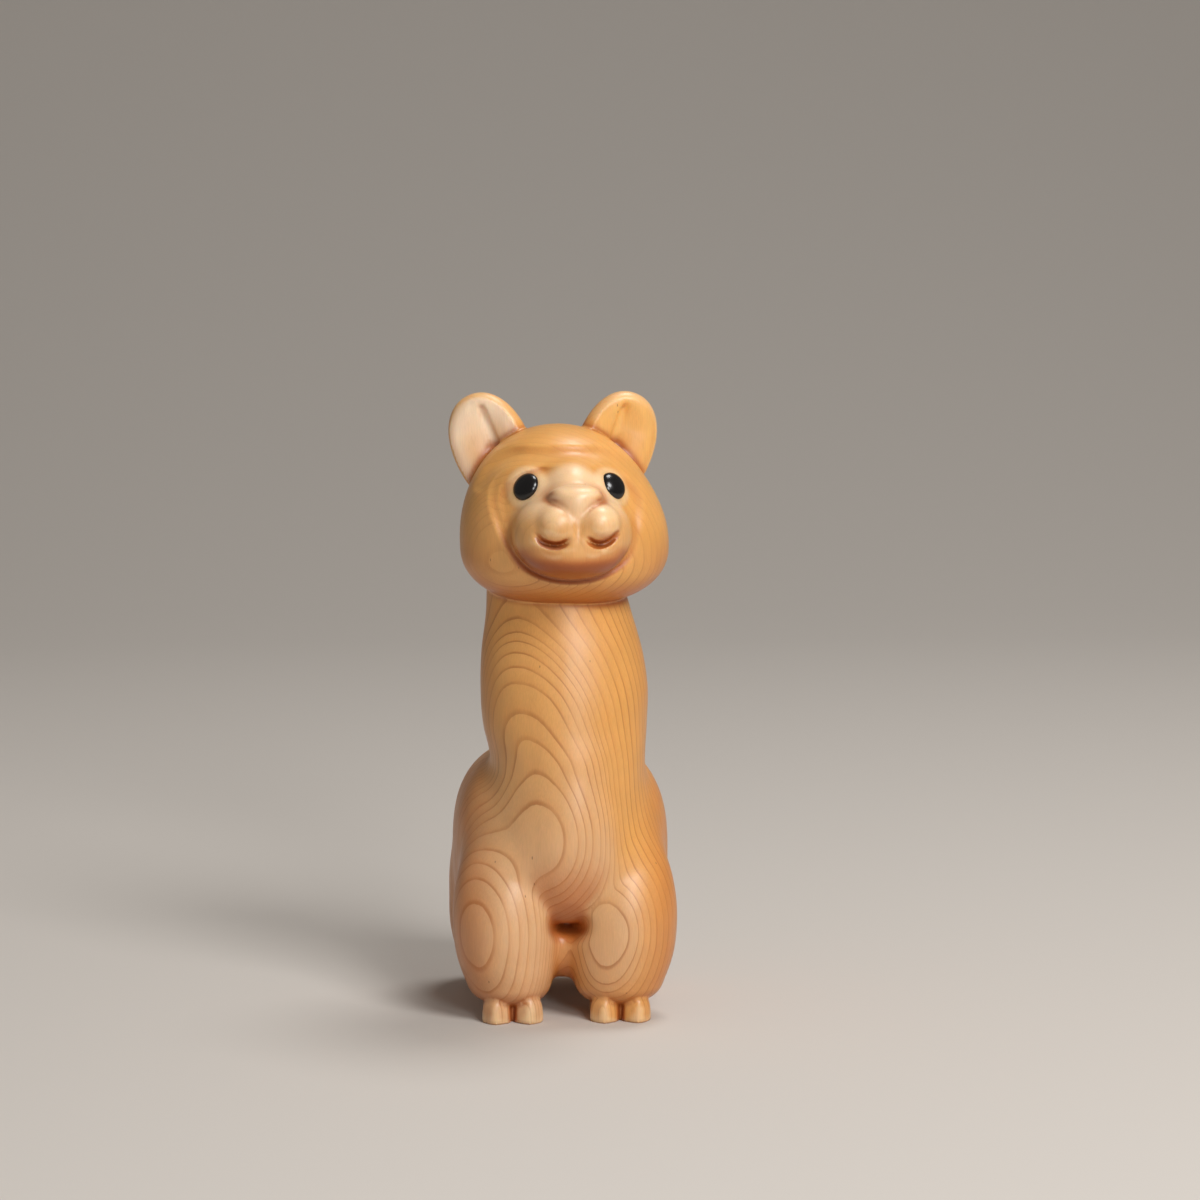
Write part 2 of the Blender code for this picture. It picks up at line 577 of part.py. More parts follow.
def main():
    for obj in list(bpy.data.objects):
        drop(obj)
    body = torso_and_legs()
    for side in (-1, 1):
        for stance, y in ((STANCE_WIDTH, FRONT_LEG_Y), (HIND_STANCE_WIDTH, HIND_LEG_Y)):
            body = combine(body, foot(side, side * (stance / 2 - FOOT_INSET), y), "UNION")
    body = combine(body, ground(), "DIFFERENCE")
    skull = head()
    skull = combine(skull, muzzle(), "UNION")
    skull = combine(skull, mouth_cutter(skull), "DIFFERENCE")
    for side in (-1, 1):
        skull = combine(skull, ear(side), "UNION")
    body = combine(body, skull, "UNION")
    eyes = []
    for name, side in (("left_eye", 1), ("right_eye", -1)):
        pose = eye_pose(body, side)
        eyes.append(moved(stud(name, 0), pose))
        body = combine(body, moved(stud("socket", CLEARANCE), pose), "DIFFERENCE")
    body.data.materials.clear()
    body.data.materials.append(material("oiled_wood", (0.64, 0.32, 0.11), 0.4))
    horn = material("black_horn", (0.012, 0.008, 0.006), 0.12)
    for eye in eyes:
        eye.data.materials.append(horn)
    settle_on_origin([body, *eyes])
    for obj in (body, *eyes):
        obj.data.shade_smooth()
        obj.data.set_sharp_from_angle(angle=math.radians(40))


main()
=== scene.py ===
"""The looks of the carved wooden alpaca: one carved block of oiled wood and two polished horn eyes.

The carving is described as a distance field: for any point it gives about how many millimetres the point
lies outside the wood. Rounded masses are joined with small fillets, as a gouge leaves them, the face and the
ears are cut into them, and the zero level of the field is skinned with a mesh.

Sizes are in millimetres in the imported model's own frame: +Z up, the face looks along -Y. The studio's are in
metres.
"""

import math

import bmesh
import bpy
import numpy as np
from mathutils import Euler, Matrix, Vector


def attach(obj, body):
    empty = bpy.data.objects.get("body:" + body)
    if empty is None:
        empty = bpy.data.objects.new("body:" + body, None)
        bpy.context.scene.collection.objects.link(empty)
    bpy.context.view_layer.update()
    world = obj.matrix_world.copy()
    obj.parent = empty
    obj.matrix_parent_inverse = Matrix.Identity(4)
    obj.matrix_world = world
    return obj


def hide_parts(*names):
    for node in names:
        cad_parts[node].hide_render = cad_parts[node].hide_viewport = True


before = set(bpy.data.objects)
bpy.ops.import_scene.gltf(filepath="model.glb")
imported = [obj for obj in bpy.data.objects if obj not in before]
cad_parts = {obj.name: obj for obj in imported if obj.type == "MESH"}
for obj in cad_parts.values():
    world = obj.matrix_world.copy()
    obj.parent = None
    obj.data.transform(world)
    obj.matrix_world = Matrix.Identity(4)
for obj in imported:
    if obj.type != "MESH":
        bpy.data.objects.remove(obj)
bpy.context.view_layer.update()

MM = 0.001

# A fillet is its size. One of four numbers widens upwards: its size, how much wider it gets, from what height
# on, and over how much height

# Torso and legs. A station is a height, the middle's x and y, half the width and half the depth there
MIDDLE_X = -0.22  # the figure's own middle plane
TORSO = dict(middle=(-0.3, 3.0, 19.2), radii=(13.7, 13.8, 14.2), power=2.75)
CHEST = dict(middle=(0.1, -6.3, 22.9), radii=(8.3, 8.9, 12.3), power=2.0)
CHEST_FILLET = (0.7, 3.2, 13.0, 9.0)
WEB = dict(middle=(-0.1, -4.2, 9.2), radii=(5.5, 6.4, 4.9), power=2.4)  # the skin between the two front legs
WEB_FILLET = 1.4
UNDERCUT = dict(middle=(0.0, -14.4, 12.3), radii=(2.4, 7.0, 2.2))  # the deep cut between chest and web
UNDERCUT_FILLET = 1.2
TAIL = dict(middle=(0.0, 16.1, 24.6), radii=(3.1, 3.0, 5.0), nod=-14)
TAIL_FILLET = 0.8
NECK_STATIONS = (
    (12.0, 0.2, -6.0, 6.5, 6.0),
    (20.0, 0.25, -4.8, 8.8, 9.6),
    (27.0, 0.35, -3.8, 9.7, 10.4),
    (33.0, 0.35, -3.1, 9.85, 10.5),
    (36.0, 0.1, -2.75, 10.3, 10.2),
    (41.0, 0.0, -2.3, 10.55, 9.7),
    (45.5, -0.25, -1.9, 10.15, 8.95),
    (50.5, -0.65, -1.6, 9.15, 7.9),
    (53.5, -1.0, -1.5, 8.7, 7.5),
    (62.0, -1.0, -1.5, 8.6, 7.4),
)
NECK_FILLET = 1.2
FRONT_LEG_STATIONS = (
    (1.7, 6.75, -8.7, 3.9, 3.9),
    (2.7, 6.95, -8.65, 4.6, 4.8),
    (5.0, 7.15, -8.6, 5.5, 5.8),
    (8.0, 7.4, -8.5, 6.25, 6.4),
    (11.0, 7.5, -8.35, 6.55, 6.7),
    (15.0, 7.5, -7.9, 6.5, 6.6),
    (19.0, 7.2, -7.0, 6.0, 6.1),
    (24.0, 6.3, -5.4, 4.6, 4.8),
    (28.0, 5.4, -4.2, 2.8, 3.2),
)
HIND_LEG_STATIONS = (
    (1.6, 7.2, 8.9, 4.0, 4.4),
    (2.6, 7.3, 8.9, 4.7, 5.3),
    (5.0, 7.5, 8.8, 5.7, 6.4),
    (8.0, 7.6, 8.6, 6.35, 7.2),
    (12.0, 7.65, 8.2, 6.5, 7.6),
    (17.0, 7.4, 7.6, 6.3, 7.4),
    (23.0, 6.4, 6.6, 4.8, 5.8),
    (27.0, 5.6, 6.0, 3.2, 4.0),
)
# How much fuller each front leg is towards the other one, the figure's right leg first
LEG_INNER = (0.1, 0.7)
LEG_FILLET = 1.6
FRONT_FOOT = (6.75, -10.3)
HIND_FOOT = (7.2, 7.2)
FOOT_FILLET = 0.4
HEEL = dict(radii=(3.6, 4.0, 3.0), power=2.6)
HEEL_BACK, HEEL_HEIGHT = 2.4, 1.0
TOES = ((-2.0, -3), (2.0, 9))  # each toe's place across the foot, and how far it turns outwards
TOE = dict(radii=(1.6, 1.6, 3.3), power=3.2)
TOE_FORWARD = 1.7
TOE_RIDGE = 45  # a toe is a rounded square, turned so that one of its edges runs down the front
TOE_FILLET = 0.2

# Head
RUFF = dict(middle=(0.05, -2.5, 58.9), radii=(13.1, 11.1, (7.4, 10.8)), power=2.25, nod=-5)
CAP = dict(middle=(-0.8, -1.9, 64.2), radii=(10.95, 10.4, 9.9))
CAP_FILLET = 3.0
HEAD_FILLET = 0.3  # in the V-cut under the ruff
FACE_MIDDLE = (0.3, 64.8)
FACE_HALF_WIDTH = 9.4
FACE_RISE, FACE_DROP = 5.2, 9.2
FACE_DEPTHS = (0.65, 0.45)  # on the figure's right side, which has the sharper edge, and on its left side
FACE_BLEND = 8.0  # the width over which one depth turns into the other
FACE_EDGE, FACE_EDGE_START = 1.9, 0.2  # the step's width, and what share of it lies outside the face's oval
FACE_FROM, FACE_FADE = -4.0, 3.0  # the cuts begin in front of this y, and are full this much farther forward
MOAT = (0.45, 61.4, 7.7, 5.6)  # the valley under the muzzle, an oval: its middle, half its width and height
MOAT_DEPTH = 0.45
MOAT_WIDTH = 1.0
MOAT_FADE = 4.5  # it is full this far below its middle
CHEEK_LINE = ((-7.0, 69.4, 0.0), (-8.6, 67.6, 0.1), (-9.1, 65.0, 0.2), (-8.4, 62.4, 0.2), (-7.5, 60.2, 0.1))
CHEEK_LINE_WIDTH = 0.7
BROW_LINE = (
    (-11.0, 67.2, 0.4),
    (-9.0, 69.6, 0.8),
    (-6.8, 70.5, 0.5),
    (-3.5, 70.7, 0.4),
    (1.5, 70.7, 0.4),
    (5.0, 70.4, 0.3),
    (8.6, 68.2, 0.1),
)
BROW_LINE_WIDTH = 1.3
BRIDGE = dict(middle=(0.5, -10.2, 65.0), radii=(4.2, 4.7, 4.9))
BRIDGE_FILLET = 2.0
MUZZLE = dict(middle=(0.45, -12.8, 61.3), radii=(7.35, 6.1, 5.3), power=2.1)
MUZZLE_FILLET = (0.6, 0.8, 58.0, 4.0)
CHIN = dict(middle=(0.5, -14.4, 58.9), radii=(5.4, 4.3, 2.8))
CHIN_FILLET = 1.0
LIP = dict(radii=(2.75, 3.0, 2.6))
LIP_PLACES = ((-1.55, -16.1, 62.8, -8), (3.5, -16.1, 62.9, 8))  # x, y, z and the lean
LIP_FILLET = 0.4
SADDLE = dict(middle=(0.85, -16.9, 60.6), radii=(1.3, 1.7, 1.5))  # between the two crescents of the mouth
SADDLE_FILLET = 0.5
NOSE = dict(middle=(0.85, -15.6, 65.6), radii=(2.75, 2.5, (3.6, 2.0)), power=2.0, taper=0.62, nod=14)
NOSE_FILLET = (0.6, 0.6, 65.0, 1.6)
MOUTH_CORNERS = (
    ((-4.1, 61.7, 0.2), (-3.4, 60.9, 0.8), (-2.2, 60.5, 1.0), (-1.1, 60.6, 0.9), (-0.2, 61.2, 0.2)),
    ((2.0, 61.4, 0.2), (2.7, 60.8, 0.8), (3.6, 60.55, 1.0), (4.7, 60.85, 0.8), (5.7, 61.8, 0.2)),
)  # x, z and how deep the knife went
MOUTH_WIDTH = 0.55
MOUTH_FROM, MOUTH_FADE = -13.5, 1.5  # as the face's
PHILTRUM = ((1.0, 63.4, 0.1), (1.0, 62.4, 0.35), (0.95, 61.4, 0.2), (0.9, 60.6, 0.05))
PHILTRUM_WIDTH = 0.8

# Ears: a leaf each, lying behind the cap. lean tips it outwards, turn faces it outwards
EARS = (
    dict(side=-1, middle=(-8.85, 0.9, 70.8), lean=-25, turn=-14),
    dict(side=1, middle=(6.6, 0.9, 70.85), lean=23, turn=14),
)
EAR_RADII = (5.0, 2.7, (7.6, 7.35))
EAR_POWER = 2.15
EAR_FILLET = 0.4
EAR_HOLLOW = 2.5
EAR_CREASE = -0.25  # where the hollow is deepest, across the leaf: a little towards the cap
EAR_RIMS = (0.7, 0.35)  # the rim towards the cap and the thin outer one
EAR_WALL = 0.5  # a wall of the hollow is no narrower than this
EAR_TIP = (6.9, 4.2)  # how far up the leaf the hollow starts, and how much lower it is full
EAR_FACE = (0.6, 1.2)  # how far behind the leaf's middle it starts, and how much farther forward it is full
EAR_LINE = ((-1.1, 5.5, 0.1), (-1.0, 4.5, 0.9), (-0.9, 2.5, 0.8), (-0.8, -1.5, 0.7), (-0.8, -5.0, 0.5))
EAR_LINE_WIDTH = 0.75

# Eyes
EYE_HALF_SPACING = 5.42
EYE_MIDDLE_X = 0.25
EYE_LEVEL = 67.05
EYE_OUTWARD = (0.58, -0.665, 0.46)
EYE_RADIUS = 1.82
EYE_DOME = 0.95
EYE_SUNK = 0.1
EYE_ROOT = -1.0  # how deep in the wood the dome's rim starts
EYE_RINGS, EYE_TURNS = 14, 64
SHARP = 50  # an eye's edges sharper than this many degrees stay sharp
SEAT_SEARCH = (-16.0, -6.0, 400)  # the y between which the face is looked for, and in how many steps
LID_Y = -11.2
LID_RISE = 0.34
LID_REACH = 3.3
LID_EASE = 1.5

# What the mesh holds for the wood's colour, and for its painted shade, highlights and glow
RECESS_REACHES = (0.5, 1.1, 2.2)  # a recess is felt for at these distances from the surface
RECESS_MOST = 1.5
LID_HIGHLIGHT, LID_HIGHLIGHT_REACH, LID_HIGHLIGHT_EASE = 0.8, 3.1, 0.8  # painted highlight: the rim round each eye is made paler, as if lit
RIDGE_REACH = 1.5  # ridges about this wide get a painted highlight too
RIDGE_HIGHLIGHT = (0.14, 0.36)  # how strongly a surface bulges where the painted highlight begins, and where it is full
ASKEW = (0.3, 0.5, 0.8)  # any direction will do, to find two that lie in the surface
THIN = 2.5  # wood thinner than this lets light through, which is painted into its colour as a paler glow
THIN_RISE = 10.0  # it is looked for on the head only, and counts in full this far up it

# The grid that the figure is skinned on
GRID_X, GRID_Y, GRID_Z = (-16.0, 16.0), (-21.0, 21.0), (-1.2, 79.5)
CELL = 0.30
CELL_HEIGHT = 1.35  # below the head a cell is this much taller than it is wide
HEAD_CELL = 0.23
HEAD_FROM = 52.0
COARSE = 3  # first the field is worked out for every third cell, and then in full near the surface
NEAR_CELLS = 3.0
BATCH = 300000
FAR = 40.0
TINY = 1e-6  # added so that nothing is divided by zero

# How far each part's field has to be worked out
TRUNK_BELOW = 42
LEGS_BELOW, LEGS_FROM = 34, -3
FOOT_BELOW = 6
NECK_BETWEEN = (10, 64)
HEAD_ABOVE = 46
EARS_ABOVE = 58

# The wood's growth. The pith is the middle of the trunk that the block was sawn from: a height, and its x and y
# there. It runs behind the figure and to its left. A line is a year's dark edge, by its distance from the pith
PITH = ((0.0, 19.5, 23.5), (40.0, 16.0, 26.0), (80.0, 11.0, 23.5))
GROWTH_LINES = (
    35.3, 36.4, 37.4, 38.2, 39.1, 39.7, 40.2, 40.55, 41.0, 41.5, 42.0, 42.8, 43.3, 43.8, 44.5, 45.5, 46.4, 47.3
)
RING_WIDTH = 0.95  # the width of each year nearer to the pith than these, or farther out

# The wood's surface. Patches are mm across the grain and mm along it. The other rows say where a share starts
# and where it is full, and then how large it is at each, if not 0 and 1. LINE and LATE go by how much of a year
# has grown, the flanks' painted shade, MUZZLE and what goes by height or depth by mm of place, and SHADE by how far
# a surface faces down
SWAYS = ((9.0, 14.0, 0.5), (0.8, 3.0, 0.06))  # patches that bend the lines, and by how many years
LINE_SHIFT = 0.28  # moves the lines back by what the sways move them on average
LINE_START = (0.76, 0.93)
LINE_END = (0.965, 1.0, 1.0, 0.0)
LINE_PATCHES = (4.0, 9.0)
LINE_BREAKS = (0.36, 0.62, 0.3, 0.9)
LINE_ON_HEAD = (52.0, 60.0, 1.0, 0.22)
LINE_STRENGTH = 0.55
LATE_POWER = 2.0
LATE_END = (0.965, 1.0, 0.35, 0.0)
LATE_ON_HEAD = (52.0, 60.0, 1.0, 0.5)
AGE_PATCHES = (8.0, 14.0)
AGE_SWAY = 7.0
OLD_YEARS = (4.5, 14.0)
OLD_BY_HEIGHT = (40.0, 16.0, 0.2, 1.0)
# painted shade: the flanks darker and more orange the farther out they lie, fading out on the head
SIDE_SHADE = (7.5, 13.5, 0.0, 0.55)
SIDE_SHADE_BY_HEIGHT = (62.0, 56.0)
FACE_BY_DEPTH = (-10.6, -12.6)
FACE_BY_HEIGHT = (56.0, 62.0)
FACE_STRENGTH = (62.5, 65.5, 0.1, 0.85)
# how strong the painted highlight on ridges and eye rims is
HIGHLIGHT_STRENGTH = 0.55
# painted glow of light through the thin ears, paler towards -X
EAR_GLOW_SIDE = (4.0, -4.0)
EAR_GLOW_STRENGTH = (0.3, 0.8, 0.0, 0.85)
# painted shade in the recesses, and its darkest part
RECESS_SHADE = (0.07, 0.56, 0.0, 0.85)
DEEP_RECESS_SHADE = (0.5, 1.0, 0.0, 0.6)
DOWN_BY_HEIGHT = (30.0, 50.0, -0.05, 0.36)  # added to how far a surface faces down, so that less of the head counts
MUZZLE_BY_DEPTH = (-12.0, -14.5)
MUZZLE_BY_HEIGHT = (54.0, 56.0)
MUZZLE_DOWN = (57.5, 62.0, -0.58, -0.2)  # added too, so that more of the muzzle counts
SHADE = (0.0, -0.6, 0.0, 0.9)
SHADE_BY_HEIGHT = (6.0, 20.0, 0.35, 0.9)
DEEP_SHADE = (-0.3, -0.8, 0.0, 0.8)
FIBRES = (0.11, 2.2)  # the real ones are 0.02 mm, too fine to show
FIBRE_DETAIL = 3.0
FIBRE_SHADE = (0.25, 0.75, 0.95, 1.04)
CLOUDS = (2.5, 5.0)
CLOUD_SHADE = (0.3, 0.7, 0.97, 1.03)
SPECKS = (1.5, 4.0)
SPECK_CHOICE = 0.62
SPECK_EDGE = (0.03, 0.07, 0.6, 0.0)
WAVES = (3.0, 4.5)
WAVE_HEIGHT, FIBRE_HEIGHT = 0.05, 0.012
GLOSS_PATCHES = (1.5, 4.0)
ROUGHNESS = (0.3, 0.7, 0.34, 0.44)

# The studio, in metres and watts
PAPER_FRONT, PAPER_BACK = -1.0, 0.35
PAPER_BEND = 0.6
PAPER_STEPS = 24
PAPER_TOP = 1.5
PAPER_HALF_WIDTH = 1.5
LAMPS = (
    ("key", (0.27, -0.41, 0.46), 0.24, 2.45),
    ("top", (0.14, 0.10, 0.58), 0.2, 1.2),
    ("front", (0.15, -0.56, 0.27), 0.16, 0.9),
)
LAMPS_AIM = (0, 0, 0.04)
SKY_STRENGTH = 0.28

# The camera. It looks at a point this far to the right of the figure's middle and this high
CAMERA_YAW, CAMERA_PITCH = -3.5, 7.0
CAMERA_DISTANCE = 0.5
CAMERA_AIM = (4.68, 51.6)
SENSOR = 36
FOCAL_PIXELS, PHOTO_PIXELS = 3952, 1200


def joined(a, b, fillet):
    """Two fields as one body, with a fillet of about this size where they meet."""
    share = np.clip(0.5 + 0.5 * (b - a) / fillet, 0, 1)
    return b + (a - b) * share - fillet * share * (1 - share)


def ease(value):
    value = np.clip(value, 0, 1)
    return value * value * (3 - 2 * value)


def widening(heights, size, wider, start, rise):
    """The size at each height of a fillet that widens upwards."""
    return size + wider * ease((heights - start) / rise)


def local(points, middle, lean=0.0, nod=0.0, turn=0.0):
    """The points as a mass sees them. lean tips it to +X, nod tips its top back and turn faces it to +X."""
    pose = Euler((math.radians(-nod), math.radians(lean), math.radians(turn))).to_matrix()
    away = points - np.array(middle, np.float32)[:, None]
    return np.array(pose.transposed(), np.float32) @ away


def egg(points, middle, radii, power=2.0, taper=0.0, **pose):
    """A rounded mass, wider at its top with a taper. A radius may be a pair, for its low and its high side."""
    away = local(points, middle, **pose)
    reach = np.empty_like(away)
    for axis, radius in enumerate(radii):
        low, high = radius if isinstance(radius, tuple) else (radius, radius)
        reach[axis] = np.where(away[axis] < 0, low, high) if low != high else low
    if taper:
        away[0] /= 1 + taper * np.clip(away[2] / reach[2], -1.2, 1.2)
    share = np.abs(away) / reach + TINY
    if power == 2.0:
        size = np.sqrt((share * share).sum(0))
        slope = np.sqrt(((share / reach) ** 2).sum(0)) / size
    else:
        raised = share ** power
        size = raised.sum(0) ** (1 / power)
        slope = np.sqrt(((raised / share / reach) ** 2).sum(0)) * size ** (1 - power)
    return (size - 1) / slope


def smooth_rows(stations, samples=200):
    """The stations' values at close, even heights, on smooth curves through them."""
    rows = np.array(stations, float)
    heights, values = rows[:, 0], rows[:, 1:]
    slopes = np.gradient(values, heights, axis=0)
    fine = np.linspace(heights[0], heights[-1], samples)
    k = np.clip(np.searchsorted(heights, fine) - 1, 0, len(heights) - 2)
    step = (heights[k + 1] - heights[k])[:, None]
    t = (fine - heights[k])[:, None] / step
    curve = (
        values[k] * (2 * t**3 - 3 * t**2 + 1)
        + values[k + 1] * (3 * t**2 - 2 * t**3)
        + step * (slopes[k] * (t**3 - 2 * t**2 + t) + slopes[k + 1] * (t**3 - t**2))
    )
    return fine, curve.T


def column(points, stations, end=2.5, inner=0.0):
    """An upright mass lofted through stations, with rounded ends. inner makes its -X side wider."""
    heights, (middle_x, middle_y, width, depth) = smooth_rows(stations)
    x = points[0] - np.interp(points[2], heights, middle_x)
    y = points[1] - np.interp(points[2], heights, middle_y)
    a = np.interp(points[2], heights, width) + inner * (x < 0)
    b = np.interp(points[2], heights, depth)
    size = np.sqrt((x / a) ** 2 + (y / b) ** 2) + TINY
    slope = np.sqrt((x / a**2) ** 2 + (y / b**2) ** 2) / size + TINY
    side = (size - 1) / slope
    beyond = np.maximum(heights[0] - points[2], points[2] - heights[-1])
    return -joined(-side, -beyond, end)


def smooth_line(corners, steps=5):
    """A smooth curve through a few corners."""
    c = np.array(corners, float)
    c = np.vstack((2 * c[0] - c[1], c, 2 * c[-1] - c[-2]))
    rows = []
    for i in range(1, len(c) - 2):
        for t in np.linspace(0, 1, steps, endpoint=False):
            rows.append(
                0.5
                * (
                    2 * c[i]
                    + (c[i + 1] - c[i - 1]) * t
                    + (2 * c[i - 1] - 5 * c[i] + 4 * c[i + 1] - c[i + 2]) * t**2
                    + (3 * c[i] - c[i - 1] - 3 * c[i + 1] + c[i + 2]) * t**3
                )
            )
    return np.array([*rows, c[-2]])


def knife_line(across, up, line, width, steepness=1.5):
    """How deep a knife went at each point of a plane, for a line of (across, up, depth) corners."""
    depth = np.zeros_like(across)
    rows = smooth_line(line)
    for a, b in zip(rows, rows[1:]):
        span = b[:2] - a[:2]
        t = np.clip(((across - a[0]) * span[0] + (up - a[1]) * span[1]) / (span @ span), 0, 1)
        away = np.hypot(across - a[0] - span[0] * t, up - a[1] - span[1] * t) / width
        cut = (a[2] + (b[2] - a[2]) * t) * np.clip(1 - away * away, 0, 1) ** steepness
        depth = np.maximum(depth, cut)
    return depth


def only(mask, points, field):
    """A field worked out for some of the points. The others count as far outside."""
    values = np.full(points.shape[1], FAR, np.float32)
    if mask.any():
        values[mask] = field(points[:, mask])
    return values


def mirrored(points, side):
    return points * np.array((side, 1, 1), np.float32)[:, None]


def foot(points, place):
    """Two toes, each with a ridge down its front, joined by a heel under the fleece."""
    x, y = place
    solid = egg(points, (x, y + HEEL_BACK, HEEL_HEIGHT), **HEEL)
    for across, turn in TOES:
        toe = egg(points, (x + across, y - TOE_FORWARD, 0.0), turn=turn + TOE_RIDGE, **TOE)
        solid = joined(solid, toe, TOE_FILLET)
    return solid


def leg(points, stations, place, inner=0.0):
    """A bulb of fleece on its foot."""
    bulb = column(points, stations, inner=inner)
    below = only(points[2] < FOOT_BELOW, points, lambda low: foot(low, place))
    return joined(bulb, below, FOOT_FILLET)


def trunk(points):
    """Torso, chest, legs and tail."""
    body = egg(points, **TORSO)
    for side, inner in zip((-1, 1), LEG_INNER):
        seen = mirrored(points - np.array((MIDDLE_X, 0, 0), np.float32)[:, None], side)
        near = (points[2] < LEGS_BELOW) & (seen[0] > LEGS_FROM)
        front = only(near, seen, lambda p: leg(p, FRONT_LEG_STATIONS, FRONT_FOOT, inner))
        hind = only(near, seen, lambda p: leg(p, HIND_LEG_STATIONS, HIND_FOOT))
        body = joined(joined(body, front, LEG_FILLET), hind, LEG_FILLET)
    body = joined(body, egg(points, **WEB), WEB_FILLET)
    body = joined(body, egg(points, **CHEST), widening(points[2], *CHEST_FILLET))
    body = -joined(-body, egg(points, **UNDERCUT), UNDERCUT_FILLET)
    return joined(body, egg(points, **TAIL), TAIL_FILLET)


def eye_middle(side, y):
    return np.array((EYE_MIDDLE_X + side * EYE_HALF_SPACING, y, EYE_LEVEL), np.float32)


def cut_face(solid, points):
    """Ruff and cap with the face sunk into them, the lines round it and the valley under its muzzle."""
    x, y, z = points
    in_front = ease((FACE_FROM - y) / FACE_FADE)
    rise = np.where(z > FACE_MIDDLE[1], FACE_RISE, FACE_DROP)
    spread = np.hypot((x - FACE_MIDDLE[0]) / FACE_HALF_WIDTH, (z - FACE_MIDDLE[1]) / rise)
    depth = FACE_DEPTHS[0] + (FACE_DEPTHS[1] - FACE_DEPTHS[0]) * ease(x / FACE_BLEND + 0.5)
    within = ease((1.0 - spread) * FACE_HALF_WIDTH / FACE_EDGE + FACE_EDGE_START)
    solid = solid + depth * within * in_front
    solid = solid + knife_line(x, z, CHEEK_LINE, CHEEK_LINE_WIDTH) * in_front
    solid = solid + knife_line(x, z, BROW_LINE, BROW_LINE_WIDTH) * in_front
    from_moat = (np.hypot((x - MOAT[0]) / MOAT[2], (z - MOAT[1]) / MOAT[3]) - 1) * MOAT[3]
    low = ease((MOAT[1] - z) / MOAT_FADE)
    return solid + MOAT_DEPTH * ease(1 - np.abs(from_moat) / MOAT_WIDTH) * in_front * low


def head(points):
    """Ruff and cap with the face cut into them, and on the face the bridge, the eyes' rims and the muzzle."""
    x, y, z = points
    solid = cut_face(joined(egg(points, **RUFF), egg(points, **CAP), CAP_FILLET), points)
    solid = joined(solid, egg(points, **BRIDGE), BRIDGE_FILLET)
    for side in (-1, 1):
        away = np.sqrt(((points - eye_middle(side, LID_Y)[:, None]) ** 2).sum(0))
        solid = solid - LID_RISE * ease((LID_REACH - away) / LID_EASE)
    solid = joined(solid, egg(points, **MUZZLE), widening(z, *MUZZLE_FILLET))
    solid = joined(solid, egg(points, **CHIN), CHIN_FILLET)
    for *middle, lean in LIP_PLACES:
        solid = joined(solid, egg(points, middle, lean=lean, **LIP), LIP_FILLET)
    solid = joined(solid, egg(points, **SADDLE), SADDLE_FILLET)
    solid = joined(solid, egg(points, **NOSE), widening(z, *NOSE_FILLET))
    cutting = ease((MOUTH_FROM - y) / MOUTH_FADE)
    for crescent in MOUTH_CORNERS:
        solid = solid + knife_line(x, z, crescent, MOUTH_WIDTH) * cutting
    return solid + knife_line(x, z, PHILTRUM, PHILTRUM_WIDTH) * cutting


def ear(points, side, middle, lean, turn):
    """A leaf with a V-shaped hollow: a broad outer wall and a narrow inner one that fall to a crease."""
    across, through, along = local(points, middle, lean=lean, turn=turn)
    leaf = egg(points, middle, EAR_RADII, power=EAR_POWER, lean=lean, turn=turn)
    across = across * side
    length = np.where(along < 0, EAR_RADII[2][0], EAR_RADII[2][1])
    half = EAR_RADII[0] * (1 - np.clip(np.abs(along) / length, 0, 1) ** EAR_POWER) ** (1 / EAR_POWER)
    thick, thin = EAR_RIMS
    outer = (half - thin - across) / np.maximum(half - thin - EAR_CREASE, EAR_WALL)
    inner = (half - thick + across) / np.maximum(half - thick + EAR_CREASE, EAR_WALL)
    fade = ease((EAR_TIP[0] - along) / EAR_TIP[1])
    hollow = EAR_HOLLOW * np.minimum(np.clip(outer, 0, 1), np.clip(inner, 0, 1)) * fade
    hollow = hollow + knife_line(across, along, EAR_LINE, EAR_LINE_WIDTH)
    return leaf + hollow * ease((EAR_FACE[0] - through) / EAR_FACE[1])


def figure(points):
    """The whole carving, standing on Z = 0."""
    height = points[2]
    neck_near = (height > NECK_BETWEEN[0]) & (height < NECK_BETWEEN[1])
    solid = only(height < TRUNK_BELOW, points, trunk)
    solid = joined(solid, only(neck_near, points, lambda p: column(p, NECK_STATIONS)), NECK_FILLET)
    solid = joined(solid, only(height > HEAD_ABOVE, points, head), HEAD_FILLET)
    for pose in EARS:
        ear_near = (height > EARS_ABOVE) & (pose["side"] * points[0] > 0)
        solid = joined(solid, only(ear_near, points, lambda p: ear(p, **pose)), EAR_FILLET)
    return np.maximum(solid, -height)


def eye_pose(side):
    outward = Vector((side * EYE_OUTWARD[0], *EYE_OUTWARD[1:])).normalized()
    return outward.to_track_quat("Z", "Y").to_matrix()


def eye_seat(side):
    """Where an eye's axis meets the face."""
    ys = np.linspace(*SEAT_SEARCH, dtype=np.float32)
    x, _, z = eye_middle(side, 0)
    line = np.stack((np.full_like(ys, x), ys, np.full_like(ys, z)))
    return Vector(line[:, np.argmax(head(line) < 0)])


def steps_between(low, high, step):
    return list(np.arange(math.ceil((high - low) / step)) * step + low)


